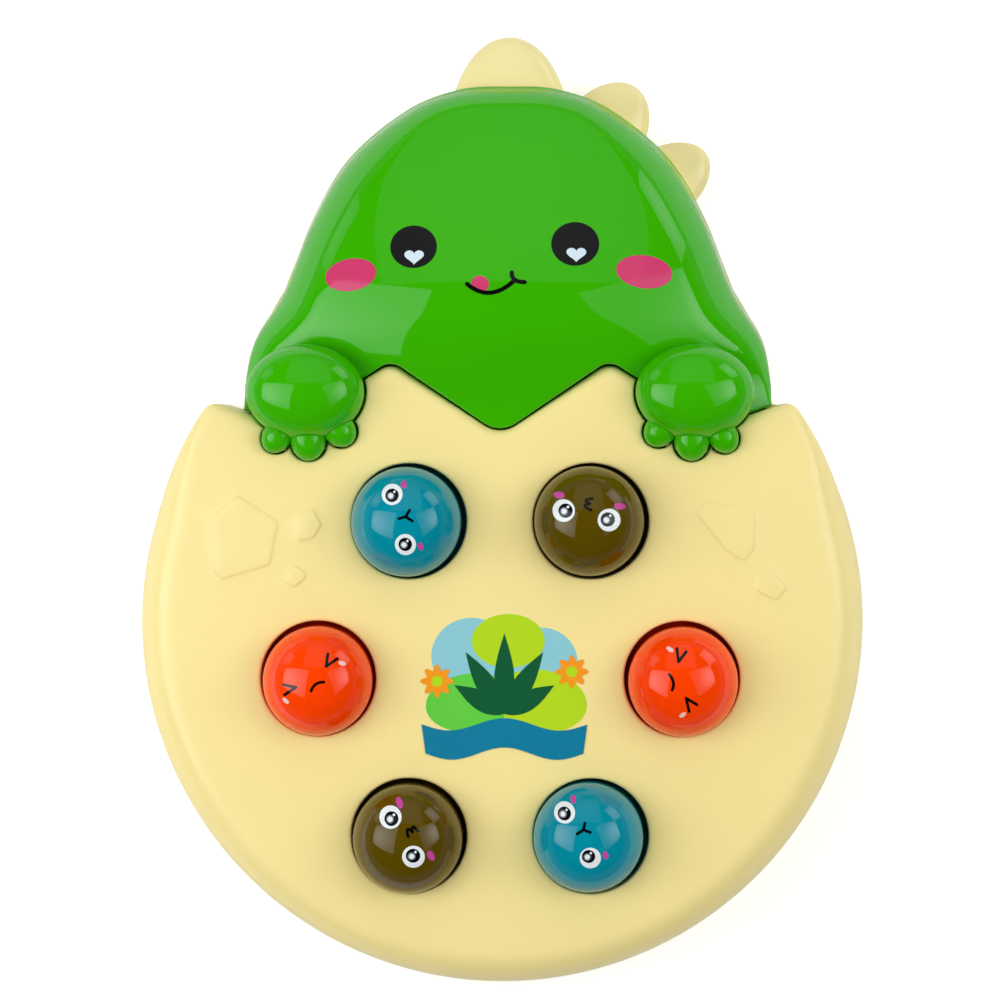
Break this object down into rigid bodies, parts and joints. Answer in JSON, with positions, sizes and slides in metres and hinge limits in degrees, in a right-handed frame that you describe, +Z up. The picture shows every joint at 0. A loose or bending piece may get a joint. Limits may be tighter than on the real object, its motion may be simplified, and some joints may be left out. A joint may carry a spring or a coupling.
{
  "type": "whack-a-mole toy",
  "caption": "Egg-shaped tabletop tapping game with sprung domes to press down, a zigzag-edged shell and a rounded creature's head with paws.",
  "frame": {"origin": "centre of the outline's box, on the plane that the rubber feet stand on", "axes": "+Y from the egg towards the head, +Z up through the domes, +X to the right of someone who looks down with the head away from them"},
  "size_m": [0.1906, 0.2498, 0.0562],
  "materials": {
    "cream_abs": "satin moulded plastic",
    "glossy_cream_abs": "glossy moulded plastic",
    "glossy_green_abs": "glossy moulded plastic",
    "blue_abs": "glossy moulded plastic",
    "olive_abs": "glossy moulded plastic",
    "orange_abs": "glossy moulded plastic",
    "spring_steel": "drawn wire",
    "zinc_plated_steel": "zinc plated",
    "board_laminate": "solder resist over laminate",
    "black_nylon": "moulded",
    "black_resin": "cast resin over a bare chip",
    "clear_epoxy": "clear cast",
    "speaker_paper": "pressed paper",
    "cell_sleeve": "plain printed sleeve over steel",
    "nickel_plated_steel": "nickel plated",
    "dark_rubber": "moulded"
  },
  "bodies": {
    "case": {"base_housing": "cream_abs", "egg_cover": "cream_abs", "crest_spike_large": "glossy_cream_abs", "crest_spike_middle": "glossy_cream_abs", "crest_spike_small": "glossy_cream_abs", "head_cover": "glossy_green_abs", "spring_orange_right": "spring_steel", "spring_olive_upper": "spring_steel", "spring_blue_upper": "spring_steel", "spring_orange_left": "spring_steel", "spring_olive_lower": "spring_steel", "spring_blue_lower": "spring_steel", "case_screw_1": "zinc_plated_steel", "case_screw_2": "zinc_plated_steel", "case_screw_3": "zinc_plated_steel", "case_screw_4": "zinc_plated_steel", "case_screw_5": "zinc_plated_steel", "case_screw_6": "zinc_plated_steel", "speaker_frame": "zinc_plated_steel", "circuit_board": "board_laminate", "push_switch_orange_right": "black_nylon", "push_switch_olive_upper": "black_nylon", "push_switch_blue_upper": "black_nylon", "push_switch_orange_left": "black_nylon", "push_switch_olive_lower": "black_nylon", "push_switch_blue_lower": "black_nylon", "power_switch_body": "black_nylon", "sound_chip": "black_resin", "lamp_orange_right": "clear_epoxy", "lamp_olive_upper": "clear_epoxy", "lamp_blue_upper": "clear_epoxy", "lamp_orange_left": "clear_epoxy", "lamp_olive_lower": "clear_epoxy", "lamp_blue_lower": "clear_epoxy", "speaker_cone": "speaker_paper", "battery_1": "cell_sleeve", "battery_2": "cell_sleeve", "battery_3": "cell_sleeve", "contact_single_right": "nickel_plated_steel", "contact_bridge_right": "nickel_plated_steel", "contact_bridge_left": "nickel_plated_steel", "contact_single_left": "nickel_plated_steel", "rubber_foot_1": "dark_rubber", "rubber_foot_2": "dark_rubber", "rubber_foot_3": "dark_rubber", "rubber_foot_4": "dark_rubber"},
    "battery_door": {"battery_door": "cream_abs", "battery_door_screw": "zinc_plated_steel"},
    "power_slider": {"power_switch_slider": "black_nylon"},
    "mole_orange_right": {"mole_orange_right": "orange_abs"},
    "mole_olive_upper": {"mole_olive_upper": "olive_abs"},
    "mole_blue_upper": {"mole_blue_upper": "blue_abs"},
    "mole_orange_left": {"mole_orange_left": "orange_abs"},
    "mole_olive_lower": {"mole_olive_lower": "olive_abs"},
    "mole_blue_lower": {"mole_blue_lower": "blue_abs"}
  },
  "joints": [
    {"name": "mole_orange_right_press", "type": "slide", "parent": "case", "child": "mole_orange_right", "axis": [0, 0, 1], "range_m": [-0.008, 0], "stiffness_N_per_m": 300, "springref_m": 0.006, "deforming": ["spring_orange_right"]},
    {"name": "mole_olive_upper_press", "type": "slide", "parent": "case", "child": "mole_olive_upper", "axis": [0, 0, 1], "range_m": [-0.008, 0], "stiffness_N_per_m": 300, "springref_m": 0.006, "deforming": ["spring_olive_upper"]},
    {"name": "mole_blue_upper_press", "type": "slide", "parent": "case", "child": "mole_blue_upper", "axis": [0, 0, 1], "range_m": [-0.008, 0], "stiffness_N_per_m": 300, "springref_m": 0.006, "deforming": ["spring_blue_upper"]},
    {"name": "mole_orange_left_press", "type": "slide", "parent": "case", "child": "mole_orange_left", "axis": [0, 0, 1], "range_m": [-0.008, 0], "stiffness_N_per_m": 300, "springref_m": 0.006, "deforming": ["spring_orange_left"]},
    {"name": "mole_olive_lower_press", "type": "slide", "parent": "case", "child": "mole_olive_lower", "axis": [0, 0, 1], "range_m": [-0.008, 0], "stiffness_N_per_m": 300, "springref_m": 0.006, "deforming": ["spring_olive_lower"]},
    {"name": "mole_blue_lower_press", "type": "slide", "parent": "case", "child": "mole_blue_lower", "axis": [0, 0, 1], "range_m": [-0.008, 0], "stiffness_N_per_m": 300, "springref_m": 0.006, "deforming": ["spring_blue_lower"]},
    {"name": "battery_door_hinge", "type": "hinge", "parent": "case", "child": "battery_door", "pos_m": [0.0016, 0.03615, 0.0025], "axis": [-1, 0, 0], "range_deg": [0, 60]},
    {"name": "power_switch_slide", "type": "slide", "parent": "case", "child": "power_slider", "axis": [1, 0, 0], "range_m": [0, 0.004]}
  ]
}
